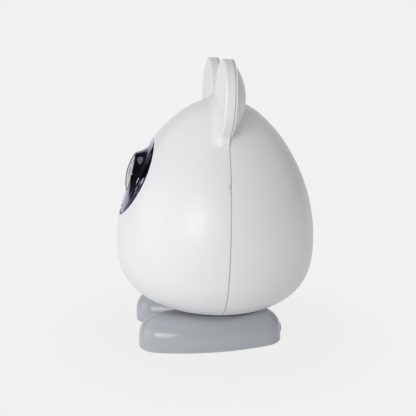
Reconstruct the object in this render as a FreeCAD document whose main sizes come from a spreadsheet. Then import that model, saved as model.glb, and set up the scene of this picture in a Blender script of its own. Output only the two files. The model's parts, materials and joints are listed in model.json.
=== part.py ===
import FreeCAD, Part
import Sketcher
import math
import os
import re
from FreeCAD import Placement, Rotation, Vector

# A treat tossing pet camera: an egg-shaped head with two round ears turns on a base with two feet.
# The frame is in millimetres: the floor is z = 0, the front is -Y and the object's left is +X.
# Most pieces are drawn in a frame of their own, which the function seat() places in the object.

# Driving dimensions, in millimetres and degrees: name, value, what it is
SIZES = [
    ("waist_height", 77.7, "height of the egg's widest level above the floor"),
    ("lean", 2.5, "backward lean of the head, in degrees"),
    ("egg_radius", 78.0, "egg radius at the waist"),
    ("egg_rise", 111.6, "crown of the egg above the waist"),
    ("egg_drop", 54.65, "bottom of the egg below the waist"),
    ("wall", 2.4, "wall of the shells"),
    ("seam", 0.6, "gap between front shell and rear cover"),
    ("gap", 0.3, "clearance between pieces"),
    ("running_fit", 0.05, "radial clearance of a shaft in its hole"),
    ("base_level", 51.0, "top of the head base below the waist"),
    ("base_radius", 43.0, "head base, to its seam with the shells"),
    ("ear_radius", 28.5, "radius of an ear"),
    ("ear_spread", 38.0, "ear centre from the mid-plane"),
    ("ear_height", 112.0, "ear centre above the waist"),
    ("ear_front_depth", 7.0, "front half of an ear, from the seam to its face"),
    ("ear_dome", 11.4, "rear dome of an ear, from the seam to its top"),
    ("ear_step", 1.0, "flat rim outside the rear dome of an ear"),
    ("ear_edge", 1.6, "rounding of an ear's front edge"),
    ("ear_dish", 1.2, "depth of the hollow in an ear's front face"),
    ("rim_radius", 32.5, "opening for the face bezel"),
    ("rim_in", 14.6, "centre of the bezel's rim, inside the egg's widest level"),
    ("rim_up", 48.2, "centre of the bezel's rim above the waist"),
    ("rim_tilt", 21.0, "upward tilt of the bezel, in degrees"),
    ("bezel_depth", 6.0, "thickness of the bezel behind its rim"),
    ("lens_radius", 15.75, "radius of the lens barrel's front"),
    ("lens_in", 9.6, "front of the lens barrel, inside the egg's widest level"),
    ("lens_up", 51.4, "centre of the lens barrel's front above the waist"),
    ("lens_tilt", 12.6, "upward tilt of the camera, in degrees"),
    ("glass_thickness", 1.5, "front glass"),
    ("glass_lip", 0.9, "wall of the barrel around the front glass"),
    ("glass_dome", 3.0, "height of the domed front glass in front of the barrel"),
    ("tube_radius", 11.0, "passage for the camera through the bezel"),
    ("camera_radius", 7.0, "camera lens barrel"),
    ("camera_length", 13.0, "camera lens barrel"),
    ("eye_depth", 1.0, "glass eye of the camera: its thickness, and its place behind the barrel's front"),
    ("holder_side", 15.0, "square lens holder"),
    ("holder_depth", 6.0, "square lens holder"),
    ("camera_board_side", 26.0, "square camera board"),
    ("board_thickness", 1.6, "circuit boards"),
    ("lamp_ring", 20.5, "circle of the infrared lamps"),
    ("lamp_radius", 2.5, "infrared lamp"),
    ("lamp_length", 4.0, "infrared lamp in front of its board"),
    ("lamp_count", 8, "infrared lamps"),
    ("window_radius", 2.75, "sensor window in the bezel's lower lip"),
    ("window_down", 24.0, "sensor window below the rim's centre"),
    ("window_out", 2.5, "face of the sensor window in front of the rim"),
    ("drum_back", 14.0, "drum axis behind the head's axis"),
    ("drum_up", 27.0, "drum axis above the waist"),
    ("drum_radius", 20.0, "portion drum"),
    ("drum_length", 28.0, "portion drum"),
    ("drum_pockets", 4, "pockets of the drum"),
    ("pocket_radius", 8.5, "pocket of the drum"),
    ("shaft_radius", 3.0, "shafts of the drum and the kicker wheel"),
    ("housing_wall", 2.5, "walls of the drum and launch housings"),
    ("throat_length", 24.0, "hopper throat, front to back"),
    ("hopper_wall", 2.0, "wall of the hopper"),
    ("hopper_half_width", 46.0, "hopper, mid-plane to its side"),
    ("hopper_front", 14.0, "front wall of the hopper, forward of the head's axis"),
    ("funnel_rise", 26.0, "height of the hopper's funnel"),
    ("seal_thickness", 1.3, "seal between the hopper and the rear cover"),
    ("kicker_forward", 12.0, "kicker axis, forward of the head's axis"),
    ("kicker_down", 18.0, "kicker axis below the waist"),
    ("kicker_radius", 18.0, "kicker wheel, to its paddle tips"),
    ("kicker_gap", 1.5, "kicker wheel to its chamber"),
    ("kicker_hub", 7.0, "hub of the kicker wheel"),
    ("kicker_paddles", 3, "paddles of the kicker wheel"),
    ("paddle_thickness", 3.0, "paddle of the kicker wheel"),
    ("launch_angle", 20.0, "rise of the launch tunnel, in degrees"),
    ("tunnel_width", 24.0, "launch tunnel, side to side"),
    ("tunnel_height", 20.0, "launch tunnel, floor to ceiling"),
    ("tunnel_length", 60.0, "launch tunnel in front of the kicker axis"),
    ("flap_width", 24.0, "outlet flap"),
    ("flap_pin_up", 8.0, "flap pin above the waist"),
    ("flap_pin_depth", 3.2, "flap pin inside the egg's outer face"),
    ("flap_height", 24.0, "outlet flap below its pin"),
    ("pin_radius", 0.75, "flap pin"),
    ("pin_grip", 3.0, "flap pin in the shell, each side"),
    ("motor_radius", 12.0, "kicker motor"),
    ("motor_length", 30.0, "kicker motor"),
    ("gearmotor_radius", 10.0, "gearmotors of the drum and the pan drive"),
    ("gearmotor_length", 24.0, "gearmotors of the drum and the pan drive"),
    ("gear_module", 1.0, "pan gears: pitch diameter for each tooth"),
    ("ring_teeth", 48, "teeth of the fixed pan gear"),
    ("pinion_teeth", 12, "teeth of the pan pinion"),
    ("gear_width", 5.0, "pan gears"),
    ("mesh_gap", 0.35, "extra distance between the pan gears' axes"),
    ("tooth_height", 0.8, "gear teeth outside the pitch circle, in modules"),
    ("gear_lift", 0.8, "fixed gear above the head base"),
    ("hub_radius", 16.0, "neck that the head turns on"),
    ("hub_bore", 7.0, "cable hole through the neck"),
    ("pedestal_radius", 20.0, "pedestal under the neck"),
    ("pedestal_level", 57.2, "shoulder of the pedestal below the waist"),
    ("bearing_wall", 2.4, "sleeve of the pan bearing"),
    ("bearing_flange", 2.4, "flange of the pan bearing"),
    ("frame_thickness", 3.0, "inner frame"),
    ("frame_forward", 6.0, "front face of the inner frame, forward of the head's axis"),
    ("board_width", 34.0, "main board"),
    ("board_height", 44.0, "main board"),
    ("post_length", 10.0, "posts of the main board"),
    ("speaker_radius", 13.0, "speaker"),
    ("speaker_depth", 9.0, "speaker"),
    ("foot_spread", 27.6, "foot centre from the mid-plane"),
    ("foot_forward", 7.25, "foot centre forward of the head's axis"),
    ("foot_length", 112.1, "foot, heel to toe"),
    ("foot_width", 46.8, "foot, side to side"),
    ("toe_radius", 17.9, "round ends of a foot"),
    ("toes_out", 2.35, "outward turn of a foot, in degrees"),
    ("foot_top", 25.75, "top of a foot above the floor"),
    ("foot_shoulder", 17.2, "rounding between a foot's side and its top"),
    ("foot_clearance", 1.6, "gap between the head and the feet"),
    ("pad_height", 1.0, "foot pad under the base"),
    ("pad_radius", 6.0, "foot pad"),
    ("pad_reach", 38.0, "foot pad from the foot's centre"),
    ("plate_thickness", 2.4, "plate of the base frame"),
    ("ballast_height", 8.0, "steel plate in a foot"),
    ("ballast_length", 56.0, "steel plate in a foot"),
    ("ballast_width", 13.0, "steel plate in a foot"),
    ("inlet_radius", 2.8, "hole for the power plug"),
    ("inlet_depth", 10.0, "power inlet, front to back"),
    ("button_radius", 3.5, "power button"),
    ("button_travel", 1.0, "travel of the power button"),
    ("button_proud", 0.2, "power button outside the heel"),
    ("rear_part_height", 8.5, "power inlet and button above the floor"),
    ("spring_wire", 0.3, "radius of the springs' wire"),
    ("spring_gap", 0.15, "gap between the flap spring and its pin"),
    ("magnet_radius", 4.0, "magnets of the rear cover"),
    ("magnet_depth", 3.0, "magnets of the rear cover"),
    ("magnet_height", 34.0, "magnets above and below their middle level"),
    ("magnet_level", 12.0, "middle level of the magnets above the waist"),
    ("screw_radius", 1.5, "screws"),
    ("screw_head_radius", 2.8, "screws"),
    ("screw_head_height", 1.8, "screws"),
    ("screw_length", 7.0, "screws, under their heads"),
    ("post_wall", 2.0, "wall of a screw post around its screw"),
]

doc = FreeCAD.newDocument("pet_camera")
sheet = doc.addObject("Spreadsheet::Sheet", "Sizes")
for row, (alias, value, note) in enumerate(SIZES, start=1):
    sheet.set(f"A{row}", alias)
    sheet.set(f"B{row}", str(value))
    sheet.set(f"C{row}", note)
    sheet.setAlias(f"B{row}", alias)
doc.recompute()

ALIASES = {alias for alias, value, note in SIZES}
PARTS = []


def formula(text):
    """Return an expression in which each driving dimension is read from the sheet."""
    return re.sub(r"[a-z_]\w*", lambda word: "Sizes." * (word.group() in ALIASES) + word.group(), text)


def bind(thing, **expressions):
    """Bind properties of an object to formulas of the driving dimensions."""
    for name, text in expressions.items():
        thing.setExpression(name.replace("__", "."), formula(text))


def size(alias):
    """Return one driving dimension as a plain number."""
    return float(sheet.get(alias))


# Drawing helpers

X_AXIS = Vector(1, 0, 0)
Y_AXIS = Vector(0, 1, 0)
Z_AXIS = Vector(0, 0, 1)
TURNS = {"x": Rotation(Y_AXIS, 90), "y": Rotation(X_AXIS, -90), "z": Rotation()}

# Frames: place of the origin, turning axis and angle. In the rim, lens and launch frames, z points outwards
FRAMES = {
    "head": ("0", "0", "waist_height", X_AXIS, "-lean"),
    "rim": ("0", "rim_in - egg_radius", "rim_up", X_AXIS, "90 - rim_tilt"),
    "lens": ("0", "lens_in - egg_radius", "lens_up", X_AXIS, "90 - lens_tilt"),
    "launch": ("0", "-kicker_forward", "-kicker_down", X_AXIS, "90 - launch_angle"),
    "left foot": ("foot_spread", "-foot_forward", "0", Z_AXIS, "toes_out"),
    "right foot": ("-foot_spread", "-foot_forward", "0", Z_AXIS, "-toes_out"),
}


def put(thing, x, y, z):
    """Bind the place of an object."""
    bind(thing, Placement__Base__x=x, Placement__Base__y=y, Placement__Base__z=z)
    return thing


def box(name, x, y, z):
    """Return a box from its low and high sides along each axis."""
    thing = doc.addObject("Part::Box", name)
    bind(thing, Length=f"({x[1]}) - ({x[0]})", Width=f"({y[1]}) - ({y[0]})", Height=f"({z[1]}) - ({z[0]})")
    return put(thing, x[0], y[0], z[0])


def rod(name, radius, axis, low, high, centre=("0", "0")):
    """Return a cylinder along an axis, with its centre given in the other two axes."""
    thing = doc.addObject("Part::Cylinder", name)
    thing.Placement = Placement(Vector(), TURNS[axis])
    bind(thing, Radius=radius, Height=f"({high}) - ({low})")
    others = iter(centre)
    return put(thing, *[low if letter == axis else next(others) for letter in "xyz"])


def ball(name, radius, x, y, z):
    """Return a sphere."""
    thing = doc.addObject("Part::Sphere", name)
    bind(thing, Radius=radius)
    return put(thing, x, y, z)


def fuse(name, *things):
    """Join objects into one shape."""
    thing = doc.addObject("Part::MultiFuse", name)
    thing.Shapes = list(things)
    return thing


def common(name, *things):
    """Return what the objects share."""
    thing = doc.addObject("Part::MultiCommon", name)
    thing.Shapes = list(things)
    return thing


def cut(name, base, *tools):
    """Cut one or more tools from a base."""
    thing = doc.addObject("Part::Cut", name)
    thing.Base = base
    thing.Tool = tools[0] if len(tools) == 1 else fuse(name + "_tools", *tools)
    return thing


def group(name, *things):
    """Hold objects together without joining them."""
    thing = doc.addObject("Part::Compound", name)
    thing.Links = list(things)
    return thing


def seat(thing, frame, name=None):
    """Place an object in one of the frames."""
    x, y, z, axis, angle = FRAMES[frame]
    held = group(name or thing.Name + "_seated", thing)
    held.Placement = Placement(Vector(), Rotation(axis, 1))
    bind(held, Placement__Rotation__Angle=angle)
    return put(held, x, y, z)


def part(label, thing, frame="head"):
    """Finish a sub-part: place it and give it the label that names its file."""
    piece = seat(thing, frame, label) if frame else group(label, thing)
    piece.Label = label
    PARTS.append(piece)
    return piece


def plane_of(body, role):
    """Return one of a body's own origin planes."""
    return next(feature for feature in body.Origin.OriginFeatures if feature.Role == role)


def new_sketch(body, name, role="XY_Plane"):
    """Return an empty sketch on one of the body's planes."""
    sketch = body.newObject("Sketcher::SketchObject", name)
    sketch.AttachmentSupport = (plane_of(body, role), "")
    sketch.MapMode = "FlatFace"
    return sketch


def pad_of(body, sketch, name, length):
    """Pad a sketch by a bound length."""
    pad = body.newObject("PartDesign::Pad", name)
    pad.Profile = sketch
    bind(pad, Length=length)
    return pad


def circle_sketch(body, name, radius, up="0"):
    """Return a sketch of one circle on the body's V axis."""
    sketch = new_sketch(body, name)
    sketch.addGeometry(Part.Circle(Vector(0, 1, 0), Z_AXIS, 1))
    sketch.addConstraint(Sketcher.Constraint("PointOnObject", 0, CENTRE, V_AXIS))
    constrain(sketch, "DistanceY", (0, CENTRE), up)
    constrain(sketch, "Radius", (0,), radius)
    return sketch


# Numbers by which a sketch knows the ends and centre of an arc, and its own upright axis
START, END, CENTRE = 1, 2, 3
V_AXIS = -2


def value_of(text):
    """Return the number that a formula gives now."""
    return float(sheet.evalExpression(formula(text)))


def constrain(sketch, kind, where, text):
    """Add a sketch dimension and bind it to a formula."""
    number = sketch.addConstraint(Sketcher.Constraint(kind, *where, value_of(text)))
    sketch.setExpression(f"Constraints[{number}]", formula(text))


# The egg: its half outline is a superellipse above and another below the waist

CROWN_POWER = 1.92
CROWN_TAPER = 0.106
BELLY_POWER = 2.652
OUTLINE_STEPS = 9


def egg_radius_at(level):
    """Return the egg's outer radius at a level measured from the waist."""
    if level > 0:
        share = min(level / size("egg_rise"), 1)
        slim = 1 - CROWN_TAPER * share ** 2
        return size("egg_radius") * (1 - share ** CROWN_POWER) ** (1 / CROWN_POWER) * slim
    share = min(-level / size("egg_drop"), 1)
    return size("egg_radius") * (1 - share ** BELLY_POWER) ** (1 / BELLY_POWER)


def egg_points(grow):
    """Return points of the egg's half outline from bottom to top, moved out by grow."""
    levels = []
    for step in range(-OUTLINE_STEPS, OUTLINE_STEPS + 1):
        turn = math.pi / 2 * abs(step) / OUTLINE_STEPS
        if step < 0:
            levels.append(-size("egg_drop") * math.sin(turn) ** (2 / BELLY_POWER))
        else:
            levels.append(size("egg_rise") * math.sin(turn))
    outline = [Vector(egg_radius_at(level), level, 0) for level in levels]
    moved = [outline[0] + Vector(0, -grow, 0)]
    for before, here, after in zip(outline, outline[1:], outline[2:]):
        along = (after - before).normalize()
        moved.append(here + Vector(along.y, -along.x, 0) * grow)
    moved.append(outline[-1] + Vector(0, grow, 0))
    return moved


def egg(name, grow):
    """Return a solid egg whose surface lies the distance grow outside the head's."""
    body = doc.addObject("PartDesign::Body", name)
    sketch = new_sketch(body, name + "_outline", "XZ_Plane")
    points = egg_points(value_of(grow))
    curve = Part.BSplineCurve()
    curve.interpolate(Points=points, InitialTangent=X_AXIS, FinalTangent=-X_AXIS)
    sketch.addGeometry(curve)
    sketch.addGeometry(Part.LineSegment(points[-1], points[0]))
    doc.recompute()
    turn = body.newObject("PartDesign::Revolution", name + "_turn")
    turn.Profile = sketch
    turn.ReferenceAxis = (sketch, ["V_Axis"])
    turn.Angle = 360
    return body


egg_outside = egg("egg_outside", "0")
egg_inside = egg("egg_inside", "-wall")
egg_lining = egg("egg_lining", "-wall - 2 * gap")
egg_shell = cut("egg_shell", egg_outside, egg_inside)

# Half spaces, wide enough for the whole object
WIDE = ("-3 * egg_radius", "3 * egg_radius")
SEAM_FRONT = "-seam / 2"
SEAM_BACK = "seam / 2"
front_half = box("front_half", WIDE, (WIDE[0], SEAM_FRONT), WIDE)
rear_half = box("rear_half", WIDE, (SEAM_BACK, WIDE[1]), WIDE)
below_base = rod("below_base", "base_radius", "z", "-2 * base_level", "-base_level")
base_room = rod("base_room", "base_radius + gap", "z", "-2 * base_level", "-0.8 * base_level")

# Ears: a dished disc in front of the seam and a dome behind it, both hollow and open at the seam


def ear_front(side, sign):
    """Return the hollow front half of one ear."""
    centre = (f"{sign} * ear_spread", "ear_height")
    face = "-ear_front_depth"
    name = side + "_ear_front"
    flat = rod(name + "_flat", "ear_radius - ear_edge", "y", face, SEAM_FRONT, centre)
    band = rod(name + "_band", "ear_radius", "y", "ear_edge - ear_front_depth", SEAM_FRONT, centre)
    edge = doc.addObject("Part::Torus", name + "_edge")
    edge.Placement = Placement(Vector(), TURNS["y"])
    bind(edge, Radius1="ear_radius - ear_edge", Radius2="ear_edge")
    put(edge, centre[0], "ear_edge - ear_front_depth", centre[1])
    reach = "((ear_radius - ear_edge) ^ 2 + ear_dish ^ 2) / (2 * ear_dish)"
    dish = ball(name + "_dish", reach, centre[0], f"ear_dish - ear_front_depth - {reach}", centre[1])
    room = rod(name + "_room", "ear_radius - wall", "y", "ear_dish + wall - ear_front_depth", "0", centre)
    return cut(name, fuse(name + "_disc", flat, band, edge), dish, room, egg_inside)


def ear_rear(side, sign):
    """Return the hollow dome at the back of one ear."""
    centre = (f"{sign} * ear_spread", "ear_height")
    name = side + "_ear_rear"
    reach = "((ear_radius - ear_step) ^ 2 + ear_dome ^ 2) / (2 * ear_dome)"
    middle = f"ear_dome - {reach}"
    cap = ball(name + "_cap", reach, centre[0], middle, centre[1])
    post = rod(name + "_post", "ear_radius - ear_step", "y", SEAM_BACK, "2 * ear_dome", centre)
    rim = rod(name + "_rim", "ear_radius", "y", SEAM_BACK, "seam / 2 + ear_step", centre)
    hollow_cap = ball(name + "_hollow_cap", f"{reach} - wall", centre[0], middle, centre[1])
    hollow_post = rod(name + "_hollow_post", "ear_radius - wall", "y", "0", "2 * ear_dome", centre)
    hollow = common(name + "_hollow", hollow_cap, hollow_post)
    return cut(name, fuse(name + "_dome", common(name + "_round", cap, post), rim), hollow, egg_inside)


SIDES = (("left", 1), ("right", -1))
ear_fronts = [ear_front(side, sign) for side, sign in SIDES]
ear_rears = [ear_rear(side, sign) for side, sign in SIDES]

# Bosses along the seam: magnets in the rear cover meet steel catch plates in the front shell


def magnet_places():
    """Return the side and level formulas of the magnets, close inside the shell."""
    places = []
    for up in (1, -1):
        level = f"magnet_level + {up} * magnet_height"
        inner = egg_radius_at(value_of(level)) / size("egg_radius")
        for sign in (1, -1):
            places.append((f"{sign} * ({inner} * egg_radius - wall - magnet_radius)", level))
    return places


MAGNETS = magnet_places()
BOSS = "magnet_radius + 1.5 * gap + 1"


def magnet_rods(name, radius, low, high):
    """Return one rod at each magnet's place."""
    return fuse(name, *[rod(f"{name}_{count}", radius, "y", low, high, place)
                        for count, place in enumerate(MAGNETS, start=1)])


CATCH = "0.4 * magnet_depth"
cover_bosses = common("cover_bosses", egg_outside,
                      magnet_rods("cover_boss", BOSS, SEAM_BACK, "seam / 2 + magnet_depth + wall"))
shell_bosses = common("shell_bosses", egg_outside,
                      magnet_rods("shell_boss", BOSS, "-seam / 2 - magnet_depth - wall", SEAM_FRONT))
magnets = magnet_rods("magnet", "magnet_radius", SEAM_BACK, "seam / 2 + magnet_depth")
catches = magnet_rods("catch", "magnet_radius", f"-seam / 2 - {CATCH}", SEAM_FRONT)
part("cover_magnets", magnets)
part("catch_plates", catches)

# Long bosses reach from the inner frame to the front shell and take its screws

FRAME_BACK = "frame_thickness - frame_forward"
FRAME_FRONT = "-frame_forward"
SCREW_PLACES = [(f"{sign} * 0.74 * egg_radius", level)
                for sign in (1, -1) for level in ("0.38 * egg_radius", "-0.36 * egg_radius")]


def frame_rods(name, radius, low, high):
    """Return one rod at each screw of the front shell."""
    return fuse(name, *[rod(f"{name}_{count}", radius, "y", low, high, place)
                        for count, place in enumerate(SCREW_PLACES, start=1)])


screw_bosses = cut("screw_bosses",
                   common("screw_posts", egg_outside,
                          frame_rods("screw_post", "screw_radius + post_wall", "-egg_radius", FRAME_FRONT)),
                   frame_rods("pilot", "screw_radius", "-frame_forward - screw_length", FRAME_FRONT))
shell_screws = fuse("shell_screw_pieces",
                    frame_rods("shell_shank", "screw_radius",
                               "frame_thickness - frame_forward - screw_length", FRAME_BACK),
                    frame_rods("shell_head", "screw_head_radius",
                               FRAME_BACK, f"{FRAME_BACK} + screw_head_height"))
part("shell_screws", shell_screws)

# The outlet flap closes the launch tunnel and hangs on a pin just inside the front shell

FLAP_PIN = ("flap_pin_depth - egg_radius", "flap_pin_up")
FLAP_SIDE = "flap_width / 2"
FLAP_BOTTOM = "flap_pin_up - flap_height"
outlet = fuse("outlet",
              box("outlet_hole", (f"-{FLAP_SIDE} - gap", f"{FLAP_SIDE} + gap"),
                  ("-2 * egg_radius", "-egg_radius / 2"), (f"{FLAP_BOTTOM} - gap", "flap_pin_up")),
              rod("outlet_knuckle", "flap_pin_depth + gap", "x", f"-{FLAP_SIDE} - gap", f"{FLAP_SIDE} + gap",
                  FLAP_PIN))
GRIP = f"{FLAP_SIDE} + gap + pin_grip"
flap_ears = common("flap_ears", egg_outside,
                   rod("flap_ear_rod", "flap_pin_depth", "x", f"-({GRIP})", GRIP, FLAP_PIN))
flap_pin = rod("flap_pin_rod", "pin_radius", "x", f"-({GRIP})", GRIP, FLAP_PIN)
knuckle = common("knuckle", egg_outside,
                 rod("knuckle_rod", "flap_pin_depth", "x", f"-{FLAP_SIDE}", FLAP_SIDE, FLAP_PIN))
flap_panel = common("flap_panel", egg_shell,
                    box("flap_block", (f"-{FLAP_SIDE}", FLAP_SIDE), ("-2 * egg_radius", "-egg_radius / 2"),
                        (FLAP_BOTTOM, "flap_pin_up")))
SPRING_SIDE = "flap_width / 10"
SPRING_REACH = "pin_radius + spring_gap + 2 * spring_wire + gap"
spring_room = fuse("spring_room",
                   rod("spring_round", SPRING_REACH, "x", f"-{SPRING_SIDE}", SPRING_SIDE, FLAP_PIN),
                   box("spring_slot", (f"-{SPRING_SIDE}", SPRING_SIDE), (FLAP_PIN[0], "-egg_radius / 2"),
                       (f"flap_pin_up - ({SPRING_REACH})", f"flap_pin_up + {SPRING_REACH}")))
flap_bore = rod("flap_bore", "pin_radius + running_fit", "x", f"-{FLAP_SIDE}", FLAP_SIDE, FLAP_PIN)
part("outlet_flap", cut("flap", fuse("flap_body", flap_panel, knuckle), flap_bore, spring_room))
part("flap_pin", flap_pin)

# The face bezel: a shallow black ring that flares out into the lens barrel

BEZEL_RECESS = "gap + 0.5"
rim_hole = seat(rod("rim_cutter", "rim_radius", "z", "-2 * bezel_depth", "5 * bezel_depth"), "rim")
bezel_base = seat(rod("bezel_disc", "rim_radius - gap", "z", "-bezel_depth", f"-({BEZEL_RECESS})"), "rim")

# The flare runs from the rim to the barrel's front: hollow above, and almost flush with the egg below.
# Each circle gives its top and bottom as shares of the way inwards and outwards, from rim to barrel
FLARE = [(0.1, -0.35, 0.04, -0.8), (0.23, -0.12, 0.11, 0.3), (0.42, 0.0, 0.3, 0.57), (0.6, 0.17, 0.52, 0.74),
         (0.76, 0.44, 0.72, 0.84), (0.89, 0.71, 0.86, 0.91), (1.0, 1.0, 1.0, 1.0)]
BARREL_UP = "((lens_in - rim_in) * sin(rim_tilt) + (lens_up - rim_up) * cos(rim_tilt))"
BARREL_OUT = "((rim_in - lens_in) * cos(rim_tilt) + (lens_up - rim_up) * sin(rim_tilt))"
TOP_UP = f"({BARREL_UP} + lens_radius * cos(rim_tilt - lens_tilt))"
TOP_OUT = f"({BARREL_OUT} + lens_radius * sin(rim_tilt - lens_tilt))"
BOTTOM_UP = f"({BARREL_UP} - lens_radius * cos(rim_tilt - lens_tilt))"
BOTTOM_OUT = f"({BARREL_OUT} - lens_radius * sin(rim_tilt - lens_tilt))"


def flare_circle(number, top_in, top_out, bottom_in, bottom_out):
    """Return one circle of the flare, in the rim frame."""
    top = (f"(rim_radius + {top_in} * ({TOP_UP} - rim_radius))", f"({top_out} * {TOP_OUT})")
    bottom = (f"({bottom_in} * ({BOTTOM_UP} + rim_radius) - rim_radius)", f"({bottom_out} * {BOTTOM_OUT})")
    across, rise = f"({top[0]} - {bottom[0]})", f"({top[1]} - {bottom[1]})"
    ring = doc.addObject("Part::Circle", f"flare_circle_{number}")
    ring.Placement = Placement(Vector(), Rotation(X_AXIS, 1))
    bind(ring, Radius=f"sqrt({across} ^ 2 + {rise} ^ 2) / 2",
         Placement__Rotation__Angle=f"atan({rise} / {across})")
    return put(ring, "0", f"({top[0]} + {bottom[0]}) / 2", f"({top[1]} + {bottom[1]}) / 2")


flare_loft = doc.addObject("Part::Loft", "flare_loft")
flare_loft.Sections = [flare_circle(number, *shares) for number, shares in enumerate(FLARE, start=1)]
flare_loft.Solid = True
flare = seat(flare_loft, "rim", "flare")

lens_passage = seat(rod("lens_passage_rod", "tube_radius", "z", "-3 * bezel_depth", "bezel_depth"), "lens")
GLASS = "lens_radius - glass_lip"
glass_seat = seat(rod("glass_seat_rod", GLASS, "z", "-glass_thickness", "bezel_depth"), "lens")


def on_lamp_ring(count, text, turn):
    """Return the formulas of a place on the lamp ring, a share of a turn past the top."""
    angle = f"(360 * ({count} + {turn}) / lamp_count)"
    return (f"{text} * sin({angle})", f"{text} * cos({angle})")


def lamp_rods(name, radius, low, high):
    """Return one rod for each infrared lamp, in the rim frame."""
    return fuse(name, *[rod(f"{name}_{count}", radius, "z", low, high, on_lamp_ring(count, "lamp_ring", 0.5))
                        for count in range(int(size("lamp_count")))])


BOARD_BACK = "-bezel_depth - board_thickness"
lamps = lamp_rods("lamp", "lamp_radius", "-bezel_depth", "lamp_length - bezel_depth")
lamp_pockets = lamp_rods("lamp_pocket", "lamp_radius + gap", "-bezel_depth",
                         "lamp_length + gap - bezel_depth")
window = rod("window_rod", "window_radius", "z", "-bezel_depth", "window_out", ("0", "-window_down"))
window_hole = seat(rod("window_cutter", "window_radius + running_fit", "z", "-2 * bezel_depth", "bezel_depth",
                       ("0", "-window_down")), "rim")
bezel = cut("bezel", fuse("bezel_body", common("bezel_ring", bezel_base, egg_outside), flare),
            lens_passage, glass_seat, seat(lamp_pockets, "rim"), window_hole)
part("face_bezel", bezel)
part("status_window", seat(window, "rim"))
part("ir_leds", seat(lamps, "rim"))
GLASS_EDGE = f"({GLASS} - running_fit)"
DOME_RADIUS = f"({GLASS_EDGE} ^ 2 + glass_dome ^ 2) / (2 * glass_dome)"
DOME_CENTRE = f"(glass_dome - {DOME_RADIUS})"
glass_blank = rod("glass_blank", GLASS_EDGE, "z", "-glass_thickness", "glass_dome")
glass_front = common("glass_front", glass_blank,
                     ball("glass_ball", DOME_RADIUS, "0", "0", DOME_CENTRE))
glass_foot = rod("glass_foot", GLASS_EDGE, "z", "-glass_thickness", "0")
glass_hollow = common("glass_hollow",
                      ball("glass_hollow_ball", f"{DOME_RADIUS} - glass_thickness", "0", "0", DOME_CENTRE),
                      rod("glass_hollow_rod", f"{GLASS_EDGE} - glass_thickness", "z", "-2 * glass_thickness",
                          "glass_dome"))
glass_body = fuse("glass_body", glass_front, glass_foot)
part("lens_cover_glass", seat(cut("lens_glass", glass_body, glass_hollow), "lens"))

# The camera behind the glass: lens barrel, holder, board and the tube that carries them

LENS_FRONT = "-2 * glass_thickness"
LENS_BACK = f"{LENS_FRONT} - camera_length"
HOLDER_BACK = f"{LENS_BACK} - holder_depth"
HALF_HOLDER = "holder_side / 2"
HALF_BOARD = "camera_board_side / 2"
barrel = rod("camera_barrel", "camera_radius", "z", LENS_BACK, LENS_FRONT)
EYE_RADIUS = "0.6 * camera_radius"
EYE_BACK = f"{LENS_FRONT} - 2 * eye_depth"
barrel_hole = rod("camera_hole", EYE_RADIUS, "z", EYE_BACK, f"{LENS_FRONT} + eye_depth")
part("camera_lens", seat(cut("camera_barrel_body", barrel, barrel_hole), "lens"))
eye = rod("camera_eye_disc", EYE_RADIUS, "z", EYE_BACK, f"{LENS_FRONT} - eye_depth")
part("camera_eye", seat(eye, "lens"))
holder = box("holder_block", (f"-{HALF_HOLDER}", HALF_HOLDER), (f"-{HALF_HOLDER}", HALF_HOLDER),
             (HOLDER_BACK, LENS_BACK))
part("lens_holder", seat(holder, "lens"))
camera_board = box("camera_board_plate", (f"-{HALF_BOARD}", HALF_BOARD), (f"-{HALF_BOARD}", HALF_BOARD),
                   (f"{HOLDER_BACK} - board_thickness", HOLDER_BACK))
part("camera_board", seat(camera_board, "lens"))
tube_outside = rod("tube_outside", "tube_radius + wall", "z", HOLDER_BACK, "0")
tube_inside = rod("tube_inside", "tube_radius", "z", f"{HOLDER_BACK} - 1", "1")
tube = seat(cut("tube", tube_outside, tube_inside), "lens")
front_of_back = seat(rod("front_of_back", "2 * rim_radius", "z", "-bezel_depth", "5 * bezel_depth"), "rim")
part("camera_tube", cut("camera_tube_body", tube, front_of_back))
SURROUND_DEPTH = 4
SURROUND_BACK = f"{LENS_FRONT} - {SURROUND_DEPTH}"
SURROUND_LIP = 0.5
surround_block = rod("surround_rod", "tube_radius - running_fit", "z", SURROUND_BACK,
                     "-glass_thickness - gap")
surround_cone = doc.addObject("Part::Cone", "surround_cone")
bind(surround_cone, Radius1="camera_radius + gap", Radius2=f"tube_radius - {SURROUND_LIP}",
     Height=f"glass_thickness + {SURROUND_DEPTH} - gap")
put(surround_cone, "0", "0", SURROUND_BACK)
part("lens_surround", seat(cut("surround", surround_block, surround_cone), "lens"))

lamp_board = cut("lamp_board",
                 seat(rod("lamp_board_disc", "0.83 * rim_radius", "z", BOARD_BACK, "-bezel_depth"), "rim"),
                 seat(rod("lamp_board_hole", "tube_radius + wall + gap", "z", "-5 * bezel_depth", "0"),
                      "lens"))
part("ir_led_board", lamp_board)
microphone = rod("microphone_can", "1.2 * lamp_radius", "z", f"{BOARD_BACK} - lamp_radius", BOARD_BACK,
                 ("0", "-0.64 * rim_radius"))
part("microphone", seat(microphone, "rim"))

# The hopper: a funnel and a box, trimmed to the inside of the egg so that its mouth opens at the back

HOUSING_TOP = "drum_up + drum_radius + gap + housing_wall"
FUNNEL_TOP = f"{HOUSING_TOP} + funnel_rise"
THROAT_SIDE = "tunnel_width / 2"
THROAT_FRONT = "drum_back - throat_length / 2"
THROAT_BACK = "drum_back + throat_length / 2"
HOPPER_BACK = "egg_radius"


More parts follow.
